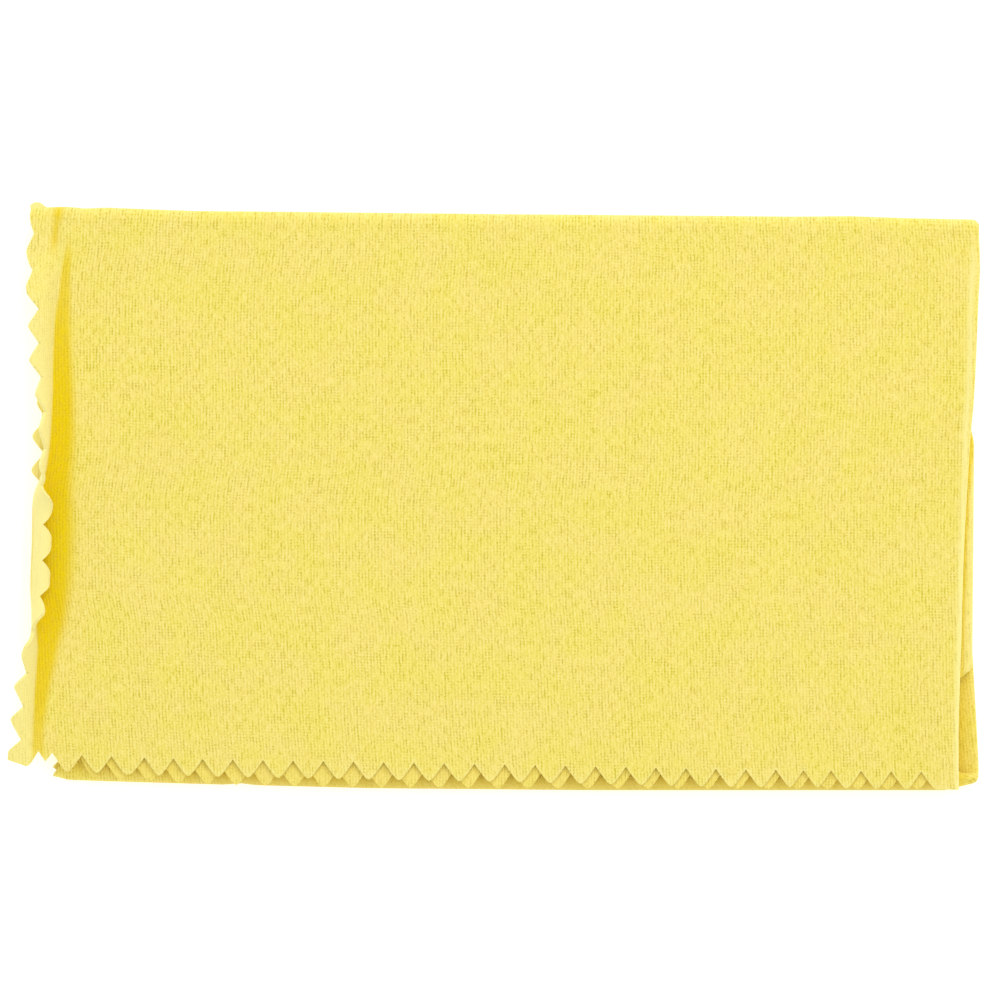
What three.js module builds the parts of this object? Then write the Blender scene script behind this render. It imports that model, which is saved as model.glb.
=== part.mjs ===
// Silicone cleaning cloth: one rectangle of brushed cotton flannel with zigzag-cut edges. It is folded once
// across its width, with the fold at the right, and then back and forth in thirds, so it lies six plies deep.
// Millimetres, +Z up. X runs to the right along the folded cloth, Y from its front edge to its top fold.
//
// The cloth is meshed flat, as it was cut, and every point is then carried to its folded place. A flat point
// has an "across" (0 at the side edge of the front layer's upper ply, cutWidth at that of its lower ply) and
// an "along" (0 at the front edge, cutLength at the back layer's far edge).

import * as THREE from 'three';
import { ImprovedNoise } from 'three/addons/math/ImprovedNoise.js';

// The cloth as cut
const cutWidth = 383;
const plyThickness = 1;
const frontRun = 110.6;
const middleRun = 110.1;
const backRun = 112.6;

// The stack: plies lie a little apart, and the layers turn round half circles
const plyGap = 0.4;
const plyPitch = plyThickness + plyGap;
const halfPly = plyThickness / 2;
const plyOffset = plyPitch / 2;
const turnRadius = plyPitch;
const turnLength = Math.PI * turnRadius;
const layerHalf = plyOffset + halfPly;
const backHeight = layerHalf;
const middleHeight = backHeight + 2 * turnRadius;
const frontHeight = middleHeight + 2 * turnRadius;
const cutLength = frontRun + middleRun + backRun + 2 * turnLength;

// The zigzag of the four edges
const endToothPitch = 5.99;
const endToothDepth = 3.5;
const sideToothPitch = 7.2;
const sideToothDepth = 2.6;
const toothTipWidth = 0.9;

// Where the shears were set down again the even run of the notches shifts a little: the number of a notch and
// its distance from the corner of the cut.
const endStrokes = [
  { notch: 0, distance: 6.6 },
  { notch: 1, distance: 9.4 },
  { notch: 3, distance: 21.3 },
  { notch: 4, distance: 27.9 },
  { notch: 6, distance: 39.6 },
  { notch: 13, distance: 82.0 },
  { notch: 20, distance: 124.6 },
  { notch: 25, distance: 154.7 },
  { notch: 27, distance: 165.8 },
  { notch: 30, distance: 183.9 },
  { notch: 31, distance: 197.0 },
  { notch: 46, distance: 290.2 },
  { notch: 57, distance: 356.3 },
  { notch: 60, distance: 374.4 },
];
const upperSideStrokes = [
  { notch: 0, distance: 5.0 },
  { notch: 2, distance: 19.0 },
  { notch: 3, distance: 27.6 },
  { notch: 6, distance: 49.3 },
  { notch: 7, distance: 57.2 },
  { notch: 9, distance: 72.0 },
  { notch: 12, distance: 92.7 },
  { notch: 13, distance: 100.8 },
  { notch: 46, distance: 337.0 },
];
const lowerSideStrokes = [
  { notch: 0, distance: 4.2 },
  { notch: 7, distance: 54.6 },
  { notch: 15, distance: 112.4 },
  { notch: 30, distance: 223.6 },
  { notch: 46, distance: 338.9 },
];

// The mesh lines
const endMargin = 4.4;
const sideMargin = 3.4;
const rollReach = 8.4;
const rollColumns = 6;
const stripReach = 10.7;
const stripColumns = 2;
const flatColumns = 8;
const hiddenFlatColumns = 6;
const foldColumns = 6;
const turnRows = 8;
const shortestRow = 1;

// The shapes of the fold lines and loose edges, seen from above: the outermost y at each x
const topFoldLine = [
  { x: -92, y: 58.1 },
  { x: -86, y: 58.4 },
  { x: -60, y: 57.6 },
  { x: 0, y: 57.0 },
  { x: 60, y: 56.5 },
  { x: 96, y: 55.9 },
];
const bottomFoldLine = [
  { x: -88, y: -55.6 },
  { x: -86, y: -56.3 },
  { x: -78, y: -56.6 },
  { x: -25, y: -58.0 },
  { x: 20, y: -58.4 },
  { x: 90, y: -58.4 },
  { x: 97, y: -56.7 },
];
const upperFrontEdge = [
  { x: -98, y: -52.0 },
  { x: -93, y: -53.8 },
  { x: -86, y: -54.6 },
  { x: -67, y: -55.4 },
  { x: 0, y: -56.6 },
  { x: 45, y: -57.6 },
  { x: 92, y: -58.2 },
];
const lowerFrontEdge = [
  { x: -92, y: -50.0 },
  { x: -88, y: -50.5 },
  { x: -84, y: -53.4 },
  { x: -80, y: -56.0 },
  { x: -63, y: -57.0 },
  { x: -38, y: -57.7 },
  { x: 0, y: -58.0 },
  { x: 92, y: -58.2 },
];
const backEdge = [
  { x: -93.2, y: 58.8 },
  { x: -92.4, y: 59.4 },
  { x: -91.2, y: 59.4 },
  { x: -90, y: 58.4 },
  { x: -50, y: 57.6 },
  { x: 0, y: 56.6 },
  { x: 75, y: 55.9 },
  { x: 96, y: 55.2 },
];

// The front layer from its front edge to the top fold. fold is the outermost x of its right-hand fold. The
// side margin of the upper ply is turned up beyond its base line: strip is the margin's flat width, rise the
// degrees it has turned through a little past the base, and edgeTurn those at its cut edge. lowerEdge and
// lowerTurn are the lower ply's cut edge and how far it turns up.
const frontLayer = [
  { y: -55, fold: 92.8, base: -91.6, strip: 6.4, rise: 40, edgeTurn: -5, lowerEdge: -92.2, lowerTurn: 0 },
  { y: -51, fold: 92.7, base: -91.6, strip: 6.4, rise: 48, edgeTurn: 0, lowerEdge: -92.4, lowerTurn: 0 },
  { y: -44.4, fold: 92.7, base: -91.7, strip: 6.5, rise: 66, edgeTurn: 14, lowerEdge: -92.8, lowerTurn: 0 },
  { y: -38.4, fold: 92.8, base: -91.5, strip: 6.7, rise: 74, edgeTurn: 24, lowerEdge: -92.6, lowerTurn: 0 },
  { y: -33, fold: 93.0, base: -91.2, strip: 7.0, rise: 84, edgeTurn: 45, lowerEdge: -92.2, lowerTurn: 0 },
  { y: -30, fold: 93.1, base: -91.0, strip: 7.3, rise: 84, edgeTurn: 62, lowerEdge: -91.9, lowerTurn: 0 },
  { y: -27, fold: 93.2, base: -90.8, strip: 7.6, rise: 80, edgeTurn: 105, lowerEdge: -91.7, lowerTurn: 0 },
  { y: -24, fold: 93.3, base: -90.6, strip: 7.8, rise: 66, edgeTurn: 190, lowerEdge: -91.5, lowerTurn: 0 },
  { y: -21.5, fold: 93.4, base: -90.9, strip: 8.0, rise: 56, edgeTurn: 270, lowerEdge: -91.4, lowerTurn: 0 },
  { y: -17, fold: 93.5, base: -91.0, strip: 8.0, rise: 56, edgeTurn: 280, lowerEdge: -91.3, lowerTurn: 0 },
  { y: -10, fold: 93.7, base: -90.7, strip: 8.0, rise: 56, edgeTurn: 280, lowerEdge: -91.2, lowerTurn: 0 },
  { y: -3, fold: 94.0, base: -90.5, strip: 8.0, rise: 56, edgeTurn: 278, lowerEdge: -91.8, lowerTurn: 0 },
  { y: 0, fold: 94.2, base: -90.3, strip: 8.0, rise: 60, edgeTurn: 260, lowerEdge: -92.5, lowerTurn: 5 },
  { y: 2.2, fold: 94.3, base: -89.9, strip: 8.0, rise: 85, edgeTurn: 140, lowerEdge: -92.8, lowerTurn: 10 },
  { y: 4.5, fold: 94.5, base: -89.4, strip: 7.9, rise: 98, edgeTurn: 66, lowerEdge: -92.9, lowerTurn: 15 },
  { y: 8, fold: 94.7, base: -88.9, strip: 7.8, rise: 98, edgeTurn: 62, lowerEdge: -92.7, lowerTurn: 15 },
  { y: 13.6, fold: 95.0, base: -88.5, strip: 7.8, rise: 95, edgeTurn: 58, lowerEdge: -92.4, lowerTurn: 15 },
  { y: 20.6, fold: 95.7, base: -88.2, strip: 7.8, rise: 88, edgeTurn: 43, lowerEdge: -91.0, lowerTurn: 15 },
  { y: 27.4, fold: 96.1, base: -88.1, strip: 7.8, rise: 75, edgeTurn: 25, lowerEdge: -90.4, lowerTurn: 10 },
  { y: 34.6, fold: 96.4, base: -87.7, strip: 7.9, rise: 71, edgeTurn: 18, lowerEdge: -90.4, lowerTurn: 5 },
  { y: 42.2, fold: 96.7, base: -86.7, strip: 8.3, rise: 54, edgeTurn: 5, lowerEdge: -91.4, lowerTurn: 0 },
  { y: 46, fold: 97.0, base: -86.0, strip: 8.5, rise: 32, edgeTurn: -8, lowerEdge: -92.2, lowerTurn: 0 },
  { y: 49.5, fold: 97.0, base: -85.2, strip: 8.4, rise: 16, edgeTurn: -14, lowerEdge: -92.4, lowerTurn: 0 },
  { y: 55, fold: 96.8, base: -84.8, strip: 8.6, rise: 4, edgeTurn: 0, lowerEdge: -92.4, lowerTurn: 0 },
];
const riseShare = 0.2;
const lowerStrip = 5;

// The hidden layers: their right-hand fold and the drawn-in side edges of their plies
const middleLayer = [
  { y: 55, fold: 96.4, edge: -92.0 },
  { y: 44, fold: 96.6, edge: -91.6 },
  { y: 30, fold: 95.8, edge: -91.2 },
  { y: 18, fold: 95.2, edge: -90.9 },
  { y: 15, fold: 95.2, edge: -90.8 },
  { y: 12, fold: 95.9, edge: -90.7 },
  { y: -12, fold: 95.7, edge: -90.1 },
  { y: -33.9, fold: 95.5, edge: -89.5 },
  { y: -35.4, fold: 92.7, edge: -89.4 },
  { y: -52.8, fold: 92.8, edge: -88.6 },
  { y: -55, fold: 95.4, edge: -88.5 },
];
const backLayer = [
  { y: -55, fold: 96.9, edge: -88.5 },
  { y: -45, fold: 96.4, edge: -88.8 },
  { y: -29, fold: 95.5, edge: -89.5 },
  { y: 15, fold: 95.2, edge: -90.6 },
  { y: 32, fold: 95.9, edge: -91.2 },
  { y: 46, fold: 97.1, edge: -92.0 },
  { y: 55, fold: 96.9, edge: -93.2 },
];

// The soft unevenness of the pile
const unevenness = 0.05;
const unevennessSize = 38;

const clothYellow = 0xf4e27a;

// The row of a table at a given place, with every other column read off in between two rows.
function readTable(table, key, place) {
  const ascending = table[0][key] < table[table.length - 1][key];
  const rows = ascending ? table : [...table].reverse();
  const above = rows.findIndex((row) => row[key] > place);
  if (above === 0) return rows[0];
  if (above < 0) return rows[rows.length - 1];
  const low = rows[above - 1];
  const high = rows[above];
  return blendRows(low, high, (place - low[key]) / (high[key] - low[key]));
}

function blendRows(from, to, share) {
  const blended = {};
  for (const key of Object.keys(from)) blended[key] = THREE.MathUtils.lerp(from[key], to[key], share);
  return blended;
}

const lineAt = (line, x) => readTable(line, 'x', x).y;

function spread(from, to, steps) {
  return Array.from({ length: steps + 1 }, (_, i) => THREE.MathUtils.lerp(from, to, i / steps));
}

// Which run or turn of the back-and-forth an along belongs to, and the share of it that lies behind.
const stretches = [
  { name: 'front', length: frontRun },
  { name: 'topTurn', length: turnLength },
  { name: 'middle', length: middleRun },
  { name: 'bottomTurn', length: turnLength },
  { name: 'back', length: backRun },
];

function stretchAt(along) {
  let left = along;
  for (const stretch of stretches) {
    if (left <= stretch.length || stretch.name === 'back') {
      return { name: stretch.name, share: left / stretch.length };
    }
    left -= stretch.length;
  }
}

// The cloth's cross-section at an along: its right-hand fold, and how each ply's side margin lies.
const runEnd = 55;

function frontSection(row) {
  return {
    fold: row.fold,
    upper: { base: row.base, strip: row.strip, rise: row.rise, edgeTurn: row.edgeTurn },
    lower: marginEndingAt(row.lowerEdge, row.lowerTurn),
  };
}

function hiddenSection(row) {
  const flatMargin = marginEndingAt(row.edge, 0);
  return { fold: row.fold, upper: flatMargin, lower: flatMargin };
}

// A margin that turns up evenly from its base line and ends at a given edge
function marginEndingAt(edge, edgeTurn) {
  const margin = { strip: lowerStrip, rise: riseShare * edgeTurn, edgeTurn };
  return { base: edge + turnedMargin(margin, lowerStrip).out, ...margin };
}

function blendSections(from, to, share) {
  return {
    fold: THREE.MathUtils.lerp(from.fold, to.fold, share),
    upper: blendRows(from.upper, to.upper, share),
    lower: blendRows(from.lower, to.lower, share),
  };
}

function sectionAt({ name, share }) {
  const front = (y) => frontSection(readTable(frontLayer, 'y', y));
  const middle = (y) => hiddenSection(readTable(middleLayer, 'y', y));
  const back = (y) => hiddenSection(readTable(backLayer, 'y', y));
  if (name === 'front') return front(THREE.MathUtils.lerp(-runEnd, runEnd, share));
  if (name === 'topTurn') return blendSections(front(runEnd), middle(runEnd), share);
  if (name === 'middle') return middle(THREE.MathUtils.lerp(runEnd, -runEnd, share));
  if (name === 'bottomTurn') return blendSections(middle(-runEnd), back(-runEnd), share);
  return back(THREE.MathUtils.lerp(-runEnd, runEnd, share));
}

// A turned-up margin, followed from its base line: how far out and up it has come, and its slope there.
const marginSteps = 24;

function turnedMargin({ strip, rise, edgeTurn }, distance) {
  const slopeAt = (walked) => {
    const share = walked / strip;
    if (share < riseShare) return THREE.MathUtils.degToRad((rise * share) / riseShare);
    const past = (share - riseShare) / (1 - riseShare);
    return THREE.MathUtils.degToRad(THREE.MathUtils.lerp(rise, edgeTurn, past));
  };
  const step = distance / marginSteps;
  let out = 0;
  let up = 0;
  for (let i = 0; i < marginSteps; i++) {
    const slope = slopeAt((i + 0.5) * step);
    out += Math.cos(slope) * step;
    up += Math.sin(slope) * step;
  }
  return { out, up, slope: slopeAt(distance) };
}

// Across the cloth: x, and the height over the layer's middle, of a point at an offset from mid-ply. The
// outer face of the folded cloth has a positive offset.
const foldLength = Math.PI * plyOffset;
const plyWidth = (cutWidth - foldLength) / 2;

function placeAcross(across, offset, section) {
  const foldCentre = section.fold - layerHalf;
  const inFold = across - plyWidth;
  if (inFold > 0 && inFold < foldLength) {
    const angle = inFold / plyOffset;
    const radius = plyOffset + offset;
    return { x: foldCentre + radius * Math.sin(angle), height: radius * Math.cos(angle) };
  }
  const face = inFold <= 0 ? 1 : -1;
  const margin = face > 0 ? section.upper : section.lower;
  const fromFold = face > 0 ? -inFold : inFold - foldLength;
  const flatWidth = plyWidth - margin.strip;
  if (fromFold <= flatWidth) {
    const x = THREE.MathUtils.lerp(foldCentre, margin.base, fromFold / flatWidth);
    return { x, height: face * (plyOffset + offset) };
  }
  const walk = turnedMargin(margin, fromFold - flatWidth);
  return {
    x: margin.base - walk.out + face * offset * Math.sin(walk.slope),
    height: face * plyOffset + walk.up + face * offset * Math.cos(walk.slope),
  };
}

// Along the cloth: y and z, through the back-and-forth of the three layers.
function placeAlong({ name, share }, x, height, lowness) {
  const topCentre = lineAt(topFoldLine, x) - turnRadius - layerHalf;
  const bottomCentre = lineAt(bottomFoldLine, x) + turnRadius + layerHalf;
  const frontEdge = THREE.MathUtils.lerp(lineAt(upperFrontEdge, x), lineAt(lowerFrontEdge, x), lowness);
  if (name === 'front') {
    return { y: THREE.MathUtils.lerp(frontEdge, topCentre, share), z: frontHeight + height };
  }
  if (name === 'topTurn') {
    const radius = turnRadius + height;
    return {
      y: topCentre + radius * Math.sin(Math.PI * share),
      z: middleHeight + turnRadius + radius * Math.cos(Math.PI * share),
    };
  }
  if (name === 'middle') {
    return { y: THREE.MathUtils.lerp(topCentre, bottomCentre, share), z: middleHeight - height };
  }
  if (name === 'bottomTurn') {
    const radius = turnRadius - height;
    return {
      y: bottomCentre - radius * Math.sin(Math.PI * share),
      z: backHeight + turnRadius + radius * Math.cos(Math.PI * share),
    };
  }
  return { y: THREE.MathUtils.lerp(bottomCentre, lineAt(backEdge, x), share), z: backHeight + height };
}

const noise = new ImprovedNoise();

function foldedPlace(across, along, offset) {
  const stretch = stretchAt(along);
  const { x, height } = placeAcross(across, offset, sectionAt(stretch));
  const lowness = THREE.MathUtils.clamp((across - plyWidth) / foldLength, 0, 1);
  const { y, z } = placeAlong(stretch, x, height, lowness);
  const swell = 1 + unevenness * noise.noise(x / unevennessSize, y / unevennessSize, 0);
  return new THREE.Vector3(x, y, z * swell);
}

// One zigzag side of the cut: the points of its outline between the corners, as distances along and into
// the cloth. Each notch runs to a sharp point, and each tooth has a narrow blunt tip.
function zigzagSide(length, notches, pitch, depth) {
  const halfOpening = (pitch - toothTipWidth) / 2;
  const points = [];
  for (const notch of notches) {
    const last = points[points.length - 1];
    const opensAt = notch - halfOpening;
    if (!last || opensAt > last.distance) points.push({ distance: opensAt, inset: 0 });
    else narrowTooth(last, opensAt, depth / halfOpening);
    points.push({ distance: notch, inset: depth });
    if (notch + halfOpening < length) points.push({ distance: notch + halfOpening, inset: 0 });
  }
  return points;
}

// Where two notches lie so close that their openings overlap, the tooth between them ends short.
function narrowTooth(tip, opensAt, steepness) {
  const overlap = tip.distance - opensAt;
  tip.distance -= overlap / 2;
  tip.inset = (steepness * overlap) / 2;
}

function notchesOf(strokes) {
  const last = strokes[strokes.length - 1].notch;
  return Array.from({ length: last + 1 }, (_, i) => readTable(strokes, 'notch', i).distance);
}

const endZigzag = zigzagSide(cutWidth, notchesOf(endStrokes), endToothPitch, endToothDepth);
const upperZigzag = zigzagSide(cutLength, notchesOf(upperSideStrokes), sideToothPitch, sideToothDepth);
const lowerZigzag = zigzagSide(cutLength, notchesOf(lowerSideStrokes), sideToothPitch, sideToothDepth);

// The zigzag with a point added wherever a mesh line meets it.
function withCrossings(zigzag, length, lines) {
  const ends = [{ distance: 0, inset: 0 }, ...zigzag, { distance: length, inset: 0 }];
  const merged = [...zigzag];
  for (const line of lines) {
    const next = ends.findIndex((point) => point.distance > line);
    const before = ends[next - 1];
    const after = ends[next];
    const share = (line - before.distance) / (after.distance - before.distance);
    merged.push({ distance: line, inset: THREE.MathUtils.lerp(before.inset, after.inset, share) });
  }
  return merged.sort((a, b) => a.distance - b.distance);
}

// The lines of the flat mesh, close together where the cloth turns.
const columns = [
  ...spread(sideMargin, rollReach, rollColumns),
  ...spread(rollReach, stripReach, stripColumns).slice(1),
  ...spread(stripReach, plyWidth, flatColumns).slice(1),
  ...spread(plyWidth, plyWidth + foldLength, foldColumns).slice(1),
  ...spread(plyWidth + foldLength, cutWidth - stripReach, hiddenFlatColumns).slice(1),
  (cutWidth - stripReach + cutWidth - sideMargin) / 2,
  cutWidth - sideMargin,
];
const topTurnStart = frontRun;
const middleStart = topTurnStart + turnLength;
const bottomTurnStart = middleStart + middleRun;
const backStart = bottomTurnStart + turnLength;

// A mesh line at every row of a layer's table
function tableLines(table, start, run) {
  return table.map(({ y }) => start + (Math.abs(y - table[0].y) / (2 * runEnd)) * run);
}

const frontLines = tableLines(frontLayer, 0, frontRun);
const middleLines = tableLines(middleLayer, middleStart, middleRun);
const backLines = tableLines(backLayer, backStart, backRun);
const rows = [
  endMargin,
  ...frontLines.filter((along) => along > endMargin + shortestRow),
  ...spread(topTurnStart, middleStart, turnRows).slice(1),
  ...middleLines.slice(1, -1),
  ...spread(bottomTurnStart, backStart, turnRows),
  ...backLines.slice(1, -1),
  cutLength - endMargin,
];

// The flat mesh: plain cells inside, and cells cut by the zigzag outline all round.
const flatPoints = [];
const pointNumbers = new Map();
const triangles = [];

function numberOf(across, along) {
  const key = `${across.toFixed(3)} ${along.toFixed(3)}`;
  if (!pointNumbers.has(key)) {
    pointNumbers.set(key, flatPoints.length);
    flatPoints.push(new THREE.Vector2(across, along));
  }
  return pointNumbers.get(key);
}

function addCell(corners) {
  const numbers = corners.map(([across, along]) => numberOf(across, along));
  const outline = numbers.map((number) => flatPoints[number]);
  for (const face of THREE.ShapeUtils.triangulateShape(outline, [])) {
    const [a, b, c] = face.map((corner) => numbers[corner]);
    const area = THREE.ShapeUtils.area([flatPoints[a], flatPoints[b], flatPoints[c]]);
    triangles.push(area > 0 ? [a, b, c] : [a, c, b]);
  }
}

const firstColumn = columns[0];
const lastColumn = columns[columns.length - 1];
const firstRow = rows[0];
const lastRow = rows[rows.length - 1];

for (let i = 1; i < columns.length; i++) {
  for (let j = 1; j < rows.length; j++) {
    addCell([
      [columns[i - 1], rows[j - 1]],
      [columns[i], rows[j - 1]],
      [columns[i], rows[j]],
      [columns[i - 1], rows[j]],
    ]);
  }
}

const between = (points, from, to) => points.filter(({ distance }) => distance >= from && distance <= to);
const endOutline = withCrossings(endZigzag, cutWidth, columns);
const upperOutline = withCrossings(upperZigzag, cutLength, rows);
const lowerOutline = withCrossings(lowerZigzag, cutLength, rows);

for (let i = 1; i < columns.length; i++) {
  const edge = between(endOutline, columns[i - 1], columns[i]);
  const front = edge.map(({ distance, inset }) => [distance, inset]);
  const far = edge.map(({ distance, inset }) => [distance, cutLength - inset]);
  addCell([...front, [columns[i], firstRow], [columns[i - 1], firstRow]]);
  addCell([...far, [columns[i], lastRow], [columns[i - 1], lastRow]]);
}

for (let j = 1; j < rows.length; j++) {
  const upperEdge = between(upperOutline, rows[j - 1], rows[j]);
  const lowerEdge = between(lowerOutline, rows[j - 1], rows[j]);
  const upper = upperEdge.map(({ distance, inset }) => [inset, distance]);
  const lower = lowerEdge.map(({ distance, inset }) => [cutWidth - inset, distance]);
  addCell([...upper, [firstColumn, rows[j]], [firstColumn, rows[j - 1]]]);
  addCell([...lower, [lastColumn, rows[j]], [lastColumn, rows[j - 1]]]);
}

for (const atUpper of [true, false]) {
  for (const atFront of [true, false]) {
    const column = atUpper ? firstColumn : lastColumn;
    const row = atFront ? firstRow : lastRow;
    const sideOutline = atUpper ? upperOutline : lowerOutline;
    const sidePoints = between(sideOutline, atFront ? 0 : row, atFront ? row : cutLength);
    const endPoints = between(endOutline, atUpper ? 0 : column, atUpper ? column : cutWidth);
    const side = sidePoints.map(({ distance, inset }) => [atUpper ? inset : cutWidth - inset, distance]);
    const end = endPoints.map(({ distance, inset }) => [distance, atFront ? inset : cutLength - inset]);
    const toCorner = atFront ? side.reverse() : side;
    const fromCorner = atUpper ? end : end.reverse();
    const corner = [atUpper ? 0 : cutWidth, atFront ? 0 : cutLength];
    addCell([[column, row], ...toCorner, corner, ...fromCorner]);
  }
}

// The solid: the outer face, the inner face and the cut edge that joins them.
function clothGeometry() {
  const count = flatPoints.length;
  const outer = flatPoints.map(({ x, y }) => foldedPlace(x, y, halfPly));
  const inner = flatPoints.map(({ x, y }) => foldedPlace(x, y, -halfPly));
  const faces = triangles.flatMap(([a, b, c]) => [a, b, c, a + count, c + count, b + count]);
  const directed = new Set();
  for (const [a, b, c] of triangles) {
    for (const [from, to] of [[a, b], [b, c], [c, a]]) directed.add(`${from} ${to}`);
  }
  for (const edge of directed) {
    const [from, to] = edge.split(' ').map(Number);
    if (!directed.has(`${to} ${from}`)) faces.push(to, from, from + count, to, from + count, to + count);
  }
  const geometry = new THREE.BufferGeometry().setFromPoints([...outer, ...inner]);
  geometry.setIndex(faces);
  geometry.computeBoundingBox();
  const centre = geometry.boundingBox.getCenter(new THREE.Vector3());
  geometry.translate(-centre.x, -centre.y, 0);
  geometry.computeVertexNormals();
  return geometry;
}

const flannel = new THREE.MeshStandardMaterial({ color: clothYellow, roughness: 0.95, metalness: 0 });

const folded = new THREE.Group();
const cloth = new THREE.Mesh(clothGeometry(), flannel);
cloth.name = 'cloth';
folded.add(cloth);

export default folded;
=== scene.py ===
import math
from collections import Counter

import bpy
import numpy as np
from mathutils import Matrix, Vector, noise
from mathutils.geometry import delaunay_2d_cdt


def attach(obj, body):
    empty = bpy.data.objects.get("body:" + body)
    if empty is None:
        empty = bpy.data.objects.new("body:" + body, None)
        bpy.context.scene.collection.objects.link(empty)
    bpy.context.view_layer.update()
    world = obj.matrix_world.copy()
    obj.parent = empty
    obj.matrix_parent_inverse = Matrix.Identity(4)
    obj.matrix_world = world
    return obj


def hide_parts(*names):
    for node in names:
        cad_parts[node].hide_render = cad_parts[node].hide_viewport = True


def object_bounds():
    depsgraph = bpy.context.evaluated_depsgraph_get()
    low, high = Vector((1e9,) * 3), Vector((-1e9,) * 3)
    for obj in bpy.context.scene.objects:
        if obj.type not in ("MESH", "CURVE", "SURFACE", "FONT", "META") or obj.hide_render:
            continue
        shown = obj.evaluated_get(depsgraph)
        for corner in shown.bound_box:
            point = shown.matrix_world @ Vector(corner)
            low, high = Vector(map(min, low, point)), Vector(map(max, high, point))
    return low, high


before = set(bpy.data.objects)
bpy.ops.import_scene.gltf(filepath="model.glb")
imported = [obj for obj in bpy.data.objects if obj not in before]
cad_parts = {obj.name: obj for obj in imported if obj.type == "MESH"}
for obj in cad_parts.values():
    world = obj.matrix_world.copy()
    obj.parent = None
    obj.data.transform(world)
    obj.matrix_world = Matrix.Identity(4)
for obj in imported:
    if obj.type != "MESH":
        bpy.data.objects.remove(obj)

# The cloth lies flat on a table and is seen from straight above and far off, square to its fold lines. The
# view is 200 mm wide at the height of the cloth's top face.
MM = 0.001
cloth_low, cloth_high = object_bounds()
VIEW_WIDTH = 200 * MM
VIEW_CENTRE = (1.34 * MM, -0.85 * MM)
VIEW_DISTANCE = 4.0
TOP_FACE = 8.0 * MM

camera_data = bpy.data.cameras.new("view_from_above")
camera_data.sensor_width = 36
camera_data.lens = camera_data.sensor_width * VIEW_DISTANCE / VIEW_WIDTH
camera = bpy.data.objects.new("view_from_above", camera_data)
camera.location = (*VIEW_CENTRE, TOP_FACE + VIEW_DISTANCE)
bpy.context.scene.collection.objects.link(camera)
bpy.context.scene.camera = camera

# The cut. One rectangle of brushed cotton flannel, treated with silicone and cut on all four sides with
# pinking shears. Lengths are in millimetres. "Across" runs from the edge of the front layer's upper ply to
# the edge of its lower ply, "along" from the front edge to the far edge of the back layer.
CUT_WIDTH = 383.0
FRONT_RUN = 110.6
MIDDLE_RUN = 110.1
BACK_RUN = 112.6
PLY_PITCH = 1.4
FOLD_LENGTH = math.pi * PLY_PITCH / 2
TURN_LENGTH = math.pi * PLY_PITCH
PLY_WIDTH = (CUT_WIDTH - FOLD_LENGTH) / 2
MIDDLE_START = FRONT_RUN + TURN_LENGTH
BACK_START = MIDDLE_START + MIDDLE_RUN + TURN_LENGTH
CUT_LENGTH = BACK_START + BACK_RUN

# Where the shears were set down again the even run of the notches shifts a little: the number of a notch
# and its distance from the corner.
FRONT_END_STROKES = np.array([(0, 6.6), (1, 9.4), (3, 21.3), (4, 27.9), (6, 39.6), (13, 82.0), (20, 124.6),
                              (25, 154.7), (27, 165.8), (30, 183.9), (31, 197.0), (46, 290.2), (57, 356.3),
                              (60, 374.4)])
UPPER_SIDE_STROKES = np.array([(0, 5.0), (2, 19.0), (3, 27.6), (6, 49.3), (7, 57.2), (9, 72.0), (12, 92.7),
                               (13, 100.8), (46, 337.0)])
LOWER_SIDE_STROKES = np.array([(0, 4.2), (7, 54.6), (15, 112.4), (30, 223.6), (46, 338.9)])
END_TOOTH_PITCH = 5.99
END_TOOTH_DEPTH = 3.5
SIDE_TOOTH_PITCH = 7.2
SIDE_TOOTH_DEPTH = 2.6
TIP_ROUNDNESS = 0.22

# Beside the top fold the side margin is drawn in, so its teeth stand out less. The four places along the
# cloth are where that starts, is full, is full no more and ends.
TOP_TOOTH_DEPTH = 1.2
TOP_TOOTH_PLACES = (97, 102, 116, 121)


def notch_places(strokes):
    """The distance of every notch from the corner, between the first and the last of the shears' strokes."""
    numbers = np.arange(strokes[0, 0], strokes[-1, 0] + 1)
    return np.interp(numbers, strokes[:, 0], strokes[:, 1])


def zigzag(distance, notches, pitch, depth):
    """How far the cut edge lies inside the rectangle: deepest in a sharp notch, least at a rounded tip."""
    to_notch = np.min(np.abs(np.asarray(distance)[..., None] - notches), axis=-1)
    share = np.clip(1 - 2 * to_notch / pitch, 0, 1)
    rounded = np.sqrt(share ** 2 + TIP_ROUNDNESS ** 2) - TIP_ROUNDNESS
    return depth * rounded / (math.sqrt(1 + TIP_ROUNDNESS ** 2) - TIP_ROUNDNESS)


end_notches = notch_places(FRONT_END_STROKES)
upper_side_notches = notch_places(UPPER_SIDE_STROKES)
lower_side_notches = notch_places(LOWER_SIDE_STROKES)


def end_inset(across):
    return zigzag(across, end_notches, END_TOOTH_PITCH, END_TOOTH_DEPTH)


def side_inset(along, notches):
    depth = np.interp(along, TOP_TOOTH_PLACES,
                      (SIDE_TOOTH_DEPTH, TOP_TOOTH_DEPTH, TOP_TOOTH_DEPTH, SIDE_TOOTH_DEPTH))
    return zigzag(along, notches, SIDE_TOOTH_PITCH, depth)


def outline_distances(length, notches, fine_until, fine_step, coarse_step):
    """Places along one side of the cut, with one in every notch, closer together where the edge shows."""
    keys = [0, *notches, length]
    places = []
    for start, end in zip(keys, keys[1:]):
        step = fine_step if start < fine_until else coarse_step
        count = max(2, 2 * round((end - start) / step / 2))
        places.extend(np.linspace(start, end, count, endpoint=False))
    return np.array([*places, length])


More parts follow.
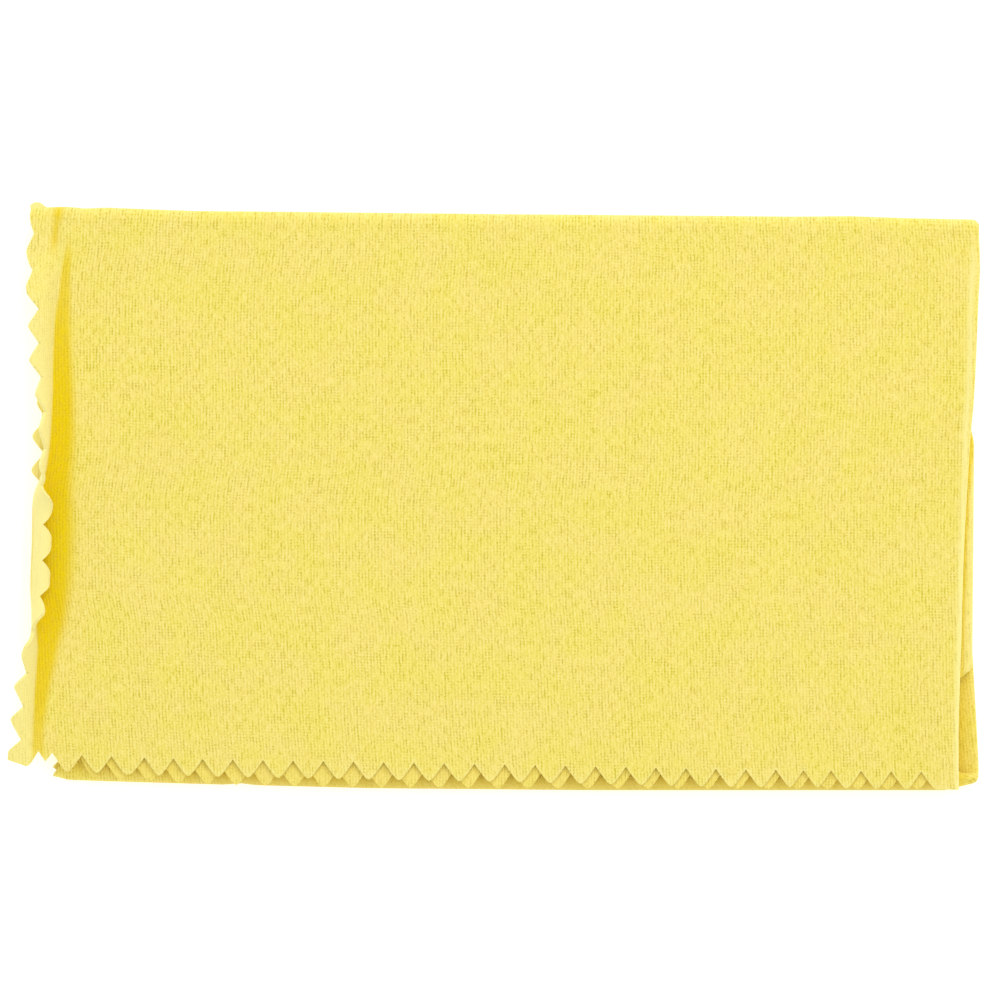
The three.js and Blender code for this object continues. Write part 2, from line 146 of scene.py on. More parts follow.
# The flat mesh is finest where the cloth bends most and where its edge shows. Each patch runs from one place
# to another across the cloth and from one to another along it, and has a step across and a step along.
FINE_EDGE_STEP = 0.4
COARSE_EDGE_STEP = 1.2
EDGE_CLEARANCE = 0.6
BEND_REACH = 1.0
UPPER_MARGIN_END = 14.0
LOW_MARGIN_START = CUT_WIDTH - 8
FOLD_START = PLY_WIDTH - BEND_REACH
FOLD_END = PLY_WIDTH + FOLD_LENGTH + BEND_REACH
TOP_TURN_START = FRONT_RUN - BEND_REACH
TOP_TURN_END = MIDDLE_START + BEND_REACH
BOTTOM_TURN_START = MIDDLE_START + MIDDLE_RUN - BEND_REACH
BOTTOM_TURN_END = BACK_START + BEND_REACH
PATCHES = (
    (0, UPPER_MARGIN_END, 0, TOP_TURN_START, 0.55, 0.8),
    (UPPER_MARGIN_END, FOLD_START, 0, TOP_TURN_START, 1.1, 1.1),
    (FOLD_START, FOLD_END, 0, TOP_TURN_START, 0.3, 2.0),
    (FOLD_END, LOW_MARGIN_START, 0, TOP_TURN_START, 3.0, 3.0),
    (LOW_MARGIN_START, CUT_WIDTH, 0, TOP_TURN_START, 0.7, 0.8),
    (0, FOLD_START, TOP_TURN_START, TOP_TURN_END, 1.6, 0.4),
    (FOLD_START, FOLD_END, TOP_TURN_START, TOP_TURN_END, 0.4, 0.4),
    (FOLD_END, CUT_WIDTH, TOP_TURN_START, TOP_TURN_END, 2.4, 0.4),
    (0, FOLD_START, TOP_TURN_END, BOTTOM_TURN_START, 3.6, 3.6),
    (FOLD_START, FOLD_END, TOP_TURN_END, BOTTOM_TURN_START, 0.35, 0.7),
    (FOLD_END, CUT_WIDTH, TOP_TURN_END, BOTTOM_TURN_START, 3.6, 3.6),
    (0, FOLD_START, BOTTOM_TURN_START, BOTTOM_TURN_END, 2.0, 0.4),
    (FOLD_START, FOLD_END, BOTTOM_TURN_START, BOTTOM_TURN_END, 0.4, 0.4),
    (FOLD_END, CUT_WIDTH, BOTTOM_TURN_START, BOTTOM_TURN_END, 2.0, 0.4),
    (0, FOLD_START, BOTTOM_TURN_END, CUT_LENGTH, 3.6, 3.6),
    (FOLD_START, FOLD_END, BOTTOM_TURN_END, CUT_LENGTH, 0.35, 3.0),
    (FOLD_END, CUT_WIDTH, BOTTOM_TURN_END, CUT_LENGTH, 3.6, 3.6),
)


def patch_points(left, right, near, far, across_step, along_step):
    """Even points over one patch of the flat cloth, kept clear of the zigzag edge."""
    columns = max(1, round((right - left) / across_step))
    rows = max(1, round((far - near) / along_step))
    across = left + (np.arange(columns) + 0.5) * (right - left) / columns
    along = near + (np.arange(rows) + 0.5) * (far - near) / rows
    across, along = (grid.ravel() for grid in np.meshgrid(across, along))
    clear = EDGE_CLEARANCE * min(across_step, along_step, 1)
    inside = across > side_inset(along, upper_side_notches) + clear
    inside &= across < CUT_WIDTH - side_inset(along, lower_side_notches) - clear
    inside &= (along > end_inset(across) + clear) & (along < CUT_LENGTH - end_inset(across) - clear)
    return np.column_stack([across, along])[inside]


end_places = outline_distances(CUT_WIDTH, end_notches, PLY_WIDTH, FINE_EDGE_STEP, COARSE_EDGE_STEP)
upper_places, lower_places = (
    outline_distances(CUT_LENGTH, notches, FRONT_RUN, FINE_EDGE_STEP, COARSE_EDGE_STEP)
    for notches in (upper_side_notches, lower_side_notches)
)
front_side = np.column_stack([end_places, end_inset(end_places)])[:-1]
right_side = np.column_stack([CUT_WIDTH - side_inset(lower_places, lower_side_notches), lower_places])[:-1]
far_side = np.column_stack([end_places, CUT_LENGTH - end_inset(end_places)])[:0:-1]
left_side = np.column_stack([side_inset(upper_places, upper_side_notches), upper_places])[:0:-1]
outline = np.concatenate([front_side, right_side, far_side, left_side])
inner_points = np.concatenate([patch_points(*patch) for patch in PATCHES])
flat_points = [Vector(point) for point in np.concatenate([outline, inner_points])]
flat, _, faces, _, _, face_origins = delaunay_2d_cdt(flat_points, [], [range(len(outline))], 1, 1e-5, True)
flat = np.array(flat)
triangles = [corners for corners, origin in zip(faces, face_origins) if origin]

# The folding. The cloth was folded in half, edge on edge, with the fold at the right, and then back and
# forth in thirds, so six plies lie over each other. X and Y are measured on the folded cloth from above.
BACK_HEIGHT = 1.2
MIDDLE_HEIGHT = BACK_HEIGHT + 2 * PLY_PITCH
FRONT_HEIGHT = MIDDLE_HEIGHT + 2 * PLY_PITCH
LAYER_HALF = 1.05
RUN_END = 55.0

# The outermost y at each x of the fold lines and loose edges
TOP_FOLD_LINE = np.array([(-92, 58.1), (-86, 58.5), (-82, 58.1), (-78, 58.3), (-60, 57.6), (-46, 57.5),
                          (0, 57.0), (60, 56.5), (71, 56.6), (82, 56.2), (96, 55.9)])
BOTTOM_FOLD_LINE = np.array([(-88, -55.6), (-86, -56.3), (-78, -56.6), (-54, -57.3), (-51, -57.0),
                             (-48, -57.4), (-25, -58.0), (20, -58.4), (90, -58.4), (97, -56.7)])
UPPER_FRONT_EDGE = np.array([(-98, -52.0), (-93, -53.8), (-86, -54.6), (-67, -55.4), (0, -56.6),
                             (45, -57.6), (92, -58.2)])
LOWER_FRONT_EDGE = np.array([(-92, -50.0), (-88, -50.5), (-84, -53.4), (-80, -56.0), (-63, -57.0),
                             (-38, -57.7), (0, -58.0), (92, -58.2)])
BACK_EDGE = np.array([(-93.2, 58.8), (-92.4, 59.4), (-91.2, 59.4), (-90, 58.4), (-50, 57.6), (0, 56.6),
                      (75, 55.9), (96, 55.2)])

# The front layer, from its front edge up. "fold" is the outermost x of its right-hand fold. The side margin
# of the upper ply turns up beyond its "base" line: "strip" is its flat width, "rise" the degrees it has
# turned through a little past the base and "edge turn" those at its cut edge. "low edge" and "low turn" are
# the lower ply's cut edge and how far it turns up.
FRONT_COLUMNS = ("y", "fold", "base", "strip", "rise", "edge turn", "low edge", "low turn")
FRONT_LAYER = np.array([
    (-55, 92.8, -91.6, 6.4, 40, -5, -92.2, 0),
    (-51, 92.7, -91.6, 6.4, 48, 0, -92.4, 0),
    (-44.4, 92.7, -91.7, 6.5, 66, 14, -92.8, 0),
    (-38.4, 92.8, -91.5, 6.7, 74, 24, -92.6, 0),
    (-33, 93.0, -91.2, 7.0, 84, 45, -92.2, 0),
    (-30, 93.1, -91.0, 7.3, 84, 62, -91.9, 0),
    (-27, 93.2, -90.8, 7.4, 70, 118, -91.7, 0),
    (-24, 93.3, -90.6, 7.6, 62, 132, -91.5, 0),
    (-21.5, 93.4, -90.9, 7.9, 57, 225, -91.4, 0),
    (-19, 93.4, -91.0, 8.0, 54, 295, -91.4, 0),
    (-17, 93.5, -91.0, 8.0, 56, 280, -91.3, 0),
    (-10, 93.7, -90.7, 8.0, 56, 280, -91.2, 0),
    (-3, 94.0, -90.5, 8.0, 52, 285, -91.8, 0),
    (-1.5, 94.1, -90.4, 8.0, 46, 240, -92.3, 3),
    (0, 94.2, -90.3, 8.0, 54, 180, -92.5, 5),
    (2.2, 94.3, -89.9, 8.0, 85, 140, -92.8, 10),
    (4.5, 94.5, -89.4, 7.9, 98, 66, -92.9, 15),
    (8, 94.7, -88.9, 7.8, 98, 62, -92.7, 15),
    (13.6, 95.0, -88.5, 7.8, 95, 58, -92.4, 15),
    (20.6, 95.7, -88.2, 7.8, 88, 43, -91.0, 15),
    (27.4, 96.1, -88.1, 7.8, 75, 25, -90.4, 10),
    (34.6, 96.4, -87.7, 7.9, 71, 18, -90.4, 5),
    (42.2, 96.7, -86.7, 8.3, 54, 5, -91.4, 0),
    (46, 97.0, -86.0, 8.5, 32, -8, -92.2, 0),
    (49.5, 97.0, -85.2, 8.4, 16, -14, -92.4, 0),
    (55, 96.8, -84.8, 8.6, 4, 0, -92.4, 0),
])
RISE_SHARE = 0.2
LOW_STRIP = 5.0

# The hidden layers: the outermost x of their right-hand fold and the drawn-in side edges of their plies
HIDDEN_COLUMNS = ("y", "fold", "edge")
MIDDLE_LAYER = np.array([
    (55, 96.4, -92.0),
    (44, 96.6, -91.6),
    (30, 95.8, -91.2),
    (18, 95.2, -90.9),
    (15, 95.2, -90.8),
    (12, 95.9, -90.7),
    (-12, 95.7, -90.1),
    (-34.3, 95.5, -89.5),
    (-35.0, 92.7, -89.4),
    (-55.0, 92.8, -88.5),
    (-56.0, 96.6, -88.5),
])
BACK_LAYER = np.array([
    (-55, 96.9, -88.5),
    (-45, 96.4, -88.8),
    (-29, 95.5, -89.5),
    (15, 95.2, -90.6),
    (32, 95.9, -91.2),
    (46, 97.1, -92.0),
    (55, 96.9, -93.2),
])
MARGIN_STEPS = 32
SECTION_STEP = 0.25
FRONT_SOFTNESS = 1.5
HIDDEN_SOFTNESS = 0.5


def turned_margin(strip, rise, edge_turn, walked):
    """How far out and up a turned-up margin has come after a walk from its base line."""
    steps = (np.arange(MARGIN_STEPS) + 0.5) / MARGIN_STEPS
    shares = (walked / strip)[..., None] * steps
    first = rise[..., None] * shares / RISE_SHARE
    second = rise[..., None] + (edge_turn - rise)[..., None] * (shares - RISE_SHARE) / (1 - RISE_SHARE)
    slopes = np.radians(np.where(shares < RISE_SHARE, first, second))
    return walked * np.cos(slopes).mean(axis=-1), walked * np.sin(slopes).mean(axis=-1)


def low_margin_base(edge, turn):
    """The base line of a lower ply's margin that ends at a given edge."""
    strip = np.full_like(edge, LOW_STRIP)
    out, _ = turned_margin(strip, RISE_SHARE * turn, turn, strip)
    return edge + out


def front_sections(table):
    rows = dict(zip(FRONT_COLUMNS, table.T))
    along = (rows["y"] + RUN_END) / (2 * RUN_END) * FRONT_RUN
    base = low_margin_base(rows["low edge"], rows["low turn"])
    return np.column_stack([along, rows["fold"], rows["base"], rows["strip"], rows["rise"], rows["edge turn"],
                            base, rows["low turn"]])


def hidden_sections(table, start, length):
    rows = dict(zip(HIDDEN_COLUMNS, table.T))
    along = start + np.abs(rows["y"] - table[0, 0]) / (2 * RUN_END) * length
    strip = np.full_like(along, LOW_STRIP)
    base = rows["edge"] + LOW_STRIP
    none = np.zeros_like(along)
    return np.column_stack([along, rows["fold"], base, strip, none, none, base, none])


def soft_sections(softness):
    """The cross-section every quarter millimetre along the cloth, with the tables' corners rounded off."""
    knots = np.concatenate([
        front_sections(FRONT_LAYER),
        hidden_sections(MIDDLE_LAYER, MIDDLE_START, MIDDLE_RUN),
        hidden_sections(BACK_LAYER, BACK_START, BACK_RUN),
    ])
    reach = round(3 * softness / SECTION_STEP)
    along = np.arange(-reach, CUT_LENGTH / SECTION_STEP + reach) * SECTION_STEP
    weights = np.exp(-0.5 * (np.arange(-reach, reach + 1) * SECTION_STEP / softness) ** 2)
    weights /= weights.sum()
    values = [np.interp(along, knots[:, 0], column) for column in knots.T[1:]]
    return along[reach:-reach], [np.convolve(value, weights, mode="valid") for value in values]


section_along, front_values = soft_sections(FRONT_SOFTNESS)
hidden_along, hidden_values = soft_sections(HIDDEN_SOFTNESS)
across, along = flat.T
fold, base, strip, rise, edge_turn, low_base, low_turn = (
    np.where(along < FRONT_RUN + TURN_LENGTH, np.interp(along, section_along, front_value),
             np.interp(along, hidden_along, hidden_value))
    for front_value, hidden_value in zip(front_values, hidden_values)
)

# Across the cloth: the upper ply, the half circle of the fold and the lower ply, and at both side edges the
# margin that leaves the ply at its base line.
fold_centre = fold - LAYER_HALF
in_fold = across - PLY_WIDTH
is_upper = in_fold <= 0
is_lower = in_fold >= FOLD_LENGTH
face = np.where(is_upper, 1.0, -1.0)
margin_base = np.where(is_upper, base, low_base)
margin_strip = np.where(is_upper, strip, LOW_STRIP)
margin_rise = np.where(is_upper, rise, RISE_SHARE * low_turn)
margin_turn = np.where(is_upper, edge_turn, low_turn)
from_fold = np.where(is_upper, -in_fold, in_fold - FOLD_LENGTH)
flat_width = PLY_WIDTH - margin_strip
past_base = from_fold - flat_width
out, up = turned_margin(margin_strip, margin_rise, margin_turn, np.maximum(past_base, 0))
fold_angle = np.clip(in_fold, 0, FOLD_LENGTH) / (PLY_PITCH / 2)
in_half_circle = ~is_upper & ~is_lower
x = np.where(past_base > 0, margin_base - out,
             fold_centre + (margin_base - fold_centre) * from_fold / flat_width)
x = np.where(in_half_circle, fold_centre + PLY_PITCH / 2 * np.sin(fold_angle), x)
height = np.where(in_half_circle, PLY_PITCH / 2 * np.cos(fold_angle), face * PLY_PITCH / 2 + up)

# Along the cloth: the front run, the turn at the top, the middle run back, the turn at the bottom and the
# back run.
lowness = np.clip(in_fold / FOLD_LENGTH, 0, 1)
top_centre = np.interp(x, *TOP_FOLD_LINE.T) - PLY_PITCH - LAYER_HALF
bottom_centre = np.interp(x, *BOTTOM_FOLD_LINE.T) + PLY_PITCH + LAYER_HALF
front_edge = np.interp(x, *UPPER_FRONT_EDGE.T) * (1 - lowness) + np.interp(x, *LOWER_FRONT_EDGE.T) * lowness
back_edge = np.interp(x, *BACK_EDGE.T)
front_share = along / FRONT_RUN
top_angle = (along - FRONT_RUN) / PLY_PITCH
middle_share = (along - MIDDLE_START) / MIDDLE_RUN
bottom_angle = (along - MIDDLE_START - MIDDLE_RUN) / PLY_PITCH
back_share = (along - BACK_START) / BACK_RUN
stretches = [
    (along <= FRONT_RUN, front_edge + (top_centre - front_edge) * front_share, FRONT_HEIGHT + height),
    (along <= MIDDLE_START, top_centre + (PLY_PITCH + height) * np.sin(top_angle),
     MIDDLE_HEIGHT + PLY_PITCH + (PLY_PITCH + height) * np.cos(top_angle)),
    (along <= MIDDLE_START + MIDDLE_RUN, top_centre + (bottom_centre - top_centre) * middle_share,
     MIDDLE_HEIGHT - height),
    (along <= BACK_START, bottom_centre - (PLY_PITCH - height) * np.sin(bottom_angle),
     BACK_HEIGHT + PLY_PITCH + (PLY_PITCH - height) * np.cos(bottom_angle)),
    (along > BACK_START, bottom_centre + (back_edge - bottom_centre) * back_share, BACK_HEIGHT + height),
]
in_stretch, y_in_stretch, z_in_stretch = zip(*stretches)
y = np.select(in_stretch, y_in_stretch)
z = np.select(in_stretch, z_in_stretch)

# Near the front edge and at the top left corner the two plies of the front layer lie closer together.
PRESSED_PLIES = 0.55
PRESSED_REACH = 8.0
PRESSED_CORNER = 0.9
CORNER_PLACE = 107.0
CORNER_REACH = 3.5
CORNER_INNER_END = 8.0
CORNER_FADE = 6.0
z += PRESSED_PLIES * lowness * np.exp(-(along / PRESSED_REACH) ** 2)
z += (PRESSED_CORNER * is_lower * np.clip((past_base + CORNER_INNER_END) / CORNER_FADE, 0, 1)
      * np.exp(-((along - CORNER_PLACE) / CORNER_REACH) ** 2))

# A short crease near the top left corner runs down from the fold and fades out. Its line is x at each y.
SHORT_CREASE = np.array([(49.0, -88.5), (59.0, -87.4)])
SHORT_CREASE_WIDTH = 0.8
SHORT_CREASE_DEPTH = 0.7
SHORT_CREASE_END = 47.5
SHORT_CREASE_FADE = 4.0
from_crease = (x - np.interp(y, *SHORT_CREASE.T)) / SHORT_CREASE_WIDTH
crease_share = np.exp(-from_crease ** 2) * np.clip((y - SHORT_CREASE_END) / SHORT_CREASE_FADE, 0, 1)
crease_share *= is_upper & (along < FRONT_RUN + TURN_LENGTH / 2)
z -= SHORT_CREASE_DEPTH * crease_share

# The soft unevenness of cloth that was folded by hand
UNEVENNESS = 0.05
UNEVENNESS_SIZE = 38.0
swell = [noise.noise(Vector((px / UNEVENNESS_SIZE, py / UNEVENNESS_SIZE, 0))) for px, py in zip(x, y)]
z = z * (1 + UNEVENNESS * np.array(swell))

# The folded sheet lies square in the cloth's box. Its cut rims stay crisp.
PLY_THICKNESS = 0.7
box_centre = (cloth_low + cloth_high) / 2
places = np.column_stack([x, y, z])
sheet_centre = (places.min(axis=0) + places.max(axis=0)) / 2
places = places * MM
places[:, 0] += box_centre.x - sheet_centre[0] * MM
places[:, 1] += box_centre.y - sheet_centre[1] * MM

cloth_mesh = bpy.data.meshes.new("folded_cloth")
cloth_mesh.from_pydata(places.tolist(), [], triangles)
cloth_mesh.polygons.foreach_set("use_smooth", [True] * len(cloth_mesh.polygons))
edge_uses = Counter(key for polygon in cloth_mesh.polygons for key in polygon.edge_keys)
for edge in cloth_mesh.edges:
    edge.use_edge_sharp = edge_uses[edge.key] == 1
cloth = bpy.data.objects.new("folded_cloth", cloth_mesh)
bpy.context.scene.collection.objects.link(cloth)

thickness = cloth.modifiers.new("ply_thickness", "SOLIDIFY")
thickness.thickness = PLY_THICKNESS * MM
thickness.offset = 0
thickness.use_even_offset = False

# What the material needs to know of each point: where it lay on the flat cloth, in millimetres, and three
# tones of painted light and shade. Gold is painted shade, the deep yellow of light bounced in the valleys
# and gaps. Pale is painted light on margins and crests. Shade is the painted brown shade of the bottom fold
# under the front edge.
in_front = along <= FRONT_RUN
on_top = is_upper & in_front
flat_y = front_share * 2 * RUN_END - RUN_END

# The valley beside the turned-up margin, with painted shade: its gold stands for light bounced between the
# margin and the face, and its pale is painted light on the margin beyond. "inner reach" and "outer reach"
# are how far its gold spreads from the base line, over the face and over the margin.
GOLD_COLUMNS = ("y", "painted_gold_shade", "inner reach", "outer reach", "painted_pale_light")
GOLD = np.array([
    (-56, 0.40, 1.2, 1.2, 0.5),
    (-48, 0.66, 1.2, 1.2, 0.5),
    (-40, 0.87, 2.2, 0.9, 0.6),
    (-31, 0.92, 3.5, 0.7, 0.7),
    (-25, 0.97, 4.7, 2.4, 0.8),
    (-18, 0.98, 6.0, 3.0, 0.9),
    (-8, 0.98, 6.2, 3.0, 0.9),
    (-2, 0.98, 5.8, 3.0, 0.9),
    (5, 0.98, 4.6, 0.9, 0.9),
    (13, 0.98, 4.2, 0.6, 0.9),
    (20, 0.98, 3.8, 0.5, 0.8),
    (32, 0.88, 2.9, 0.5, 0.5),
    (40, 0.75, 2.0, 0.5, 0.3),
    (46, 0.72, 1.0, 0.5, 0.2),
    (49.5, 0.40, 0.7, 0.6, 0.15),
    (51, 0.0, 0.6, 0.6, 0.1),
    (56, 0.0, 0.6, 0.6, 0.1),
])
GOLD_FADE_START = 1.3
GOLD_FADE = 0.6
MARGIN_PALE_FADE = 0.8
SHORT_CREASE_GOLD = 0.95
valley = {name: np.interp(flat_y, GOLD[:, 0], column) for name, column in zip(GOLD_COLUMNS, GOLD.T)}
reach = np.where(past_base < 0, valley["inner reach"], valley["outer reach"])
nearness = np.clip((GOLD_FADE_START - np.abs(past_base) / reach) / GOLD_FADE, 0, 1)
painted_gold_shade = np.where(on_top, valley["painted_gold_shade"] * nearness ** 2 * (3 - 2 * nearness), 0.0)
# Painted shade along the short crease as well.
painted_gold_shade = np.maximum(painted_gold_shade, SHORT_CREASE_GOLD * crease_share)
beyond_gold = np.clip((past_base - valley["outer reach"]) / MARGIN_PALE_FADE, 0, 1)
painted_pale_light = np.where(on_top, valley["painted_pale_light"] * beyond_gold, 0.0)

# The lower ply's teeth get painted shade, a deeper yellow, where they show below the front edge, and at the
# left painted light with a gold painted shade at the inner end, next to the upper ply's margin.
LOW_END_REACH = 8.0
LOW_END_GOLD = ((-70, -50), (0.28, 0.18))
LOW_END_PALE = 0.15
LOW_SIDE_PALE = 1.0
LOW_SIDE_GOLD = 0.35
LOW_SIDE_GOLD_START = -91.6
LOW_SIDE_GOLD_FADE = 0.5
LOW_SIDE_GOLD_END = 98.0
low_in_front = is_lower & in_front
at_front_edge = low_in_front & (along < LOW_END_REACH)
painted_gold_shade = np.maximum(painted_gold_shade, np.where(at_front_edge, np.interp(x, *LOW_END_GOLD), 0.0))
painted_pale_light = np.maximum(painted_pale_light, np.where(at_front_edge, LOW_END_PALE, 0.0))
at_left = low_in_front & (past_base > 0) & (along > LOW_END_REACH)
painted_pale_light = np.maximum(painted_pale_light, np.where(at_left, LOW_SIDE_PALE, 0.0))
low_side_gold = LOW_SIDE_GOLD * np.clip((x - LOW_SIDE_GOLD_START) / LOW_SIDE_GOLD_FADE, 0, 1)
painted_gold_shade = np.maximum(painted_gold_shade, np.where(at_left & (along < LOW_SIDE_GOLD_END), low_side_gold, 0.0))
painted_pale_light = np.where(at_left, painted_pale_light * (1 - painted_gold_shade), painted_pale_light)

# A little painted light along the cut edge of the front layer makes its rims paler.
CUT_EDGE_REACH = 0.1
CUT_EDGE_PALE = 0.3
to_cut = np.minimum(across - side_inset(along, upper_side_notches), along - end_inset(across))
painted_pale_light = np.maximum(painted_pale_light, np.where(on_top & (to_cut < CUT_EDGE_REACH), CUT_EDGE_PALE, 0.0))

# At the right the front layer ends in a painted highlight along the crest of its fold, which fades out
# towards the top. Its line is how far it lies past the fold's outermost x, at each y.
CREST_LINE = ((-60, -5, 20, 40), (-0.5, -0.6, -1.1, -1.4))
CREST_WIDTH = 0.5
CREST_PALE = 0.75
CREST_END = 54.0
CREST_FADE = 8.0
front_fold = np.interp(y, FRONT_LAYER[:, 0], FRONT_LAYER[:, 1])
past_front = x - front_fold
crest = np.exp(-((past_front - np.interp(y, *CREST_LINE)) / CREST_WIDTH) ** 2)
crest = crest * np.clip((CREST_END - y) / CREST_FADE, 0, 1)
painted_pale_light = np.maximum(painted_pale_light, np.where(in_front & ~is_lower, CREST_PALE * crest, 0.0))

# Past the crest the layers below show, with painted light and shade: painted shade in the deep gap beside
# it, painted light on a strip of the middle layer, and below that painted shade, the deep yellow of the back
# layer.
SHOWN_REACH = 4.0
LOW_CORNER_TOP = -50.0
GAP_GOLD = 0.9
GAP_REACH = 0.6
STRIP_START = 0.7
STRIP_PALE = 0.35
BACK_GOLD = 0.20
BACK_GAP_GOLD = 0.4
BACK_GAP_REACH = 1.4
in_middle = (along > FRONT_RUN + TURN_LENGTH / 2) & (along < BACK_START - TURN_LENGTH / 2)
in_back = along >= BACK_START - TURN_LENGTH / 2
at_right = past_front > -SHOWN_REACH
outside_crest = np.maximum(past_front, 0)
gap_gold = GAP_GOLD * np.exp(-(outside_crest / GAP_REACH) ** 2)
painted_gold_shade = np.maximum(painted_gold_shade, np.where(in_middle & at_right, gap_gold, 0.0))
middle_strip = in_middle & (past_front > STRIP_START) & (y > LOW_CORNER_TOP)
painted_pale_light = np.maximum(painted_pale_light, np.where(middle_strip, STRIP_PALE, 0.0))
back_gold = BACK_GOLD + BACK_GAP_GOLD * np.exp(-(outside_crest / BACK_GAP_REACH) ** 2)
low_corner = in_back | (in_middle & (y < LOW_CORNER_TOP))
painted_gold_shade = np.where(low_corner & at_right, back_gold, painted_gold_shade)

# The corner of the back layer that stands out at the top left gets painted light, so it is as pale as the
# face.
BACK_CORNER_X = -88.0
BACK_CORNER_Y = 57.5
BACK_CORNER_PALE = 1.0
back_corner = in_back & (x < BACK_CORNER_X) & (y > BACK_CORNER_Y)
painted_pale_light = np.maximum(painted_pale_light, np.where(back_corner, BACK_CORNER_PALE, 0.0))

# The bottom fold lies in the shade of the teeth, less so at its left end.
BOTTOM_FOLD_BAND = 12.0
SHADE_START = -72.0
SHADE_RISE = 30.0
SHADE_MOST = 0.6
SHADE_END = 93.0
SHADE_FADE = 2.0
LEFT_END = -60.0
LEFT_END_GOLD = 0.25
in_bottom_fold = (along > BACK_START - TURN_LENGTH - BOTTOM_FOLD_BAND) & (along < BACK_START)
shade = np.clip((x - SHADE_START) / SHADE_RISE, 0.0, SHADE_MOST) * np.clip((SHADE_END - x) / SHADE_FADE, 0, 1)
shade = np.where(in_bottom_fold, shade, 0.0)
painted_gold_shade = np.maximum(painted_gold_shade, np.where(in_bottom_fold & (x < LEFT_END), LEFT_END_GOLD, 0.0))

flat_place = cloth_mesh.attributes.new("flat_place", "FLOAT_VECTOR", "POINT")
flat_place.data.foreach_set("vector", np.column_stack([across, along, np.zeros_like(across)]).ravel())
painted_light_and_shade = cloth_mesh.attributes.new("painted_light_and_shade", "FLOAT_VECTOR", "POINT")
painted_light_and_shade.data.foreach_set("vector", np.column_stack([painted_gold_shade, painted_pale_light, shade]).ravel())

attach(cloth, "root")
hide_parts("cloth")


# The flannel. A plain weave of soft cotton threads, dyed yellow and brushed on both sides: the nap hides
# the threads in some patches and leaves them and the holes between them open in others.
def linear(red, green, blue):
    """A paint colour given as 0 to 255 per channel, as the shader's linear colour."""
    shares = [channel / 255 for channel in (red, green, blue)]
    return (*[s / 12.92 if s <= 0.04045 else ((s + 0.055) / 1.055) ** 2.4 for s in shares], 1)


DEEP_DOT = linear(203, 185, 44)
GROOVE = linear(234, 216, 96)
FACE = linear(246, 227, 114)
CREST = linear(253, 238, 140)
# Painted shade: the deep gold of light bounced between the folds, lighter and darker with the weave.
PAINTED_SHADE_GOLD = linear(240, 211, 0)
PAINTED_SHADE_GROOVE = linear(230, 197, 0)
# Painted light for margins and crests.
PAINTED_LIGHT_YELLOW = linear(255, 243, 158)
FOLD_SHADE = linear(222, 192, 66)
LEMON = linear(243, 228, 92)
PEACH = linear(250, 224, 136)
WARP_PITCH = 0.64
WEFT_PITCH = 0.59
WARP_LEAN = math.tan(math.radians(2.8))


class Shader:
    """Short calls to add nodes to one tree and to link them."""

    def __init__(self, tree):
        self.tree = tree

    def node(self, kind, inputs=(), **settings):
        made = self.tree.nodes.new("ShaderNode" + kind)
        for name, value in settings.items():
            setattr(made, name, value)
        for name, value in dict(inputs).items():
            if isinstance(value, bpy.types.NodeSocket):
                self.tree.links.new(value, made.inputs[name])
            else:
                made.inputs[name].default_value = value
        return made

    def math(self, operation, *values, clamp=False):
        made = self.node("Math", dict(enumerate(values)), operation=operation, use_clamp=clamp)
        return made.outputs[0]

    def dot(self, vector, weights):
        made = self.node("VectorMath", {0: vector, 1: weights}, operation="DOT_PRODUCT")
        return made.outputs["Value"]

    def noise(self, vector, scale, detail, stretch=(1, 1, 1)):
        """Soft noise from 0 to 1. It is finer with a higher scale and longer with a stretch below 1."""
        shaped = self.node("Mapping", {"Vector": vector, "Scale": stretch}).outputs[0]
        made = self.node("TexNoise", {"Vector": shaped, "Scale": scale, "Detail": detail})
        return made.outputs["Fac"]

    def swing(self, vector, **shape):
        """The same noise from -0.5 to 0.5."""
        return self.math("SUBTRACT", self.noise(vector, **shape), 0.5)

    def wave(self, count, turns):
        """A wave from -1 to 1 that makes so many turns while the count rises by one."""
        return self.math("COSINE", self.math("MULTIPLY", count, turns * 2 * math.pi))

    def groove(self, ridge):
        """0 on the ridges of a wave and 1 between them."""
        return self.math("MULTIPLY_ADD", ridge, -0.5, 0.5)

    def ranged(self, value, low, high, to_low=0.0, to_high=1.0):
        """What lies between low and high, brought softly to between two other values."""
        made = self.node("MapRange", {0: value, 1: low, 2: high, 3: to_low, 4: to_high})
        made.interpolation_type = "SMOOTHSTEP"
        return made.outputs[0]

    def mix(self, share, first, second):
        made = self.node("Mix", {0: share, 6: first, 7: second}, data_type="RGBA")
        return made.outputs[2]


flannel = bpy.data.materials.new("flannel")
flannel.use_nodes = True
shader = Shader(flannel.node_tree)
surface = flannel.node_tree.nodes["Principled BSDF"]
place = shader.node("Attribute", attribute_name="flat_place").outputs["Vector"]

# The count of the warp and weft threads at each point. Over a few centimetres the threads wander, and each
# one is a little uneven.
WARP_WANDER = 0.35
WEFT_WANDER = 0.9
WARP_JITTER = 0.18
WEFT_JITTER = 0.3
wander = shader.swing(place, scale=0.07, detail=1)
jitter = shader.swing(place, scale=1.0, detail=1, stretch=(1, 0.35, 1))
warp = shader.dot(place, (1 / WARP_PITCH, WARP_LEAN / WARP_PITCH, 0))
warp = shader.math("MULTIPLY_ADD", wander, WARP_WANDER, warp)
warp = shader.math("MULTIPLY_ADD", jitter, WARP_JITTER, warp)
weft = shader.dot(place, (0, 1 / WEFT_PITCH, 0))
weft = shader.math("MULTIPLY_ADD", wander, WEFT_WANDER, weft)
weft = shader.math("MULTIPLY_ADD", jitter, WEFT_JITTER, weft)
warp_ridge = shader.wave(warp, turns=1)
weft_ridge = shader.wave(weft, turns=1)
over = shader.math("MULTIPLY", shader.wave(warp, turns=0.5), shader.wave(weft, turns=0.5))

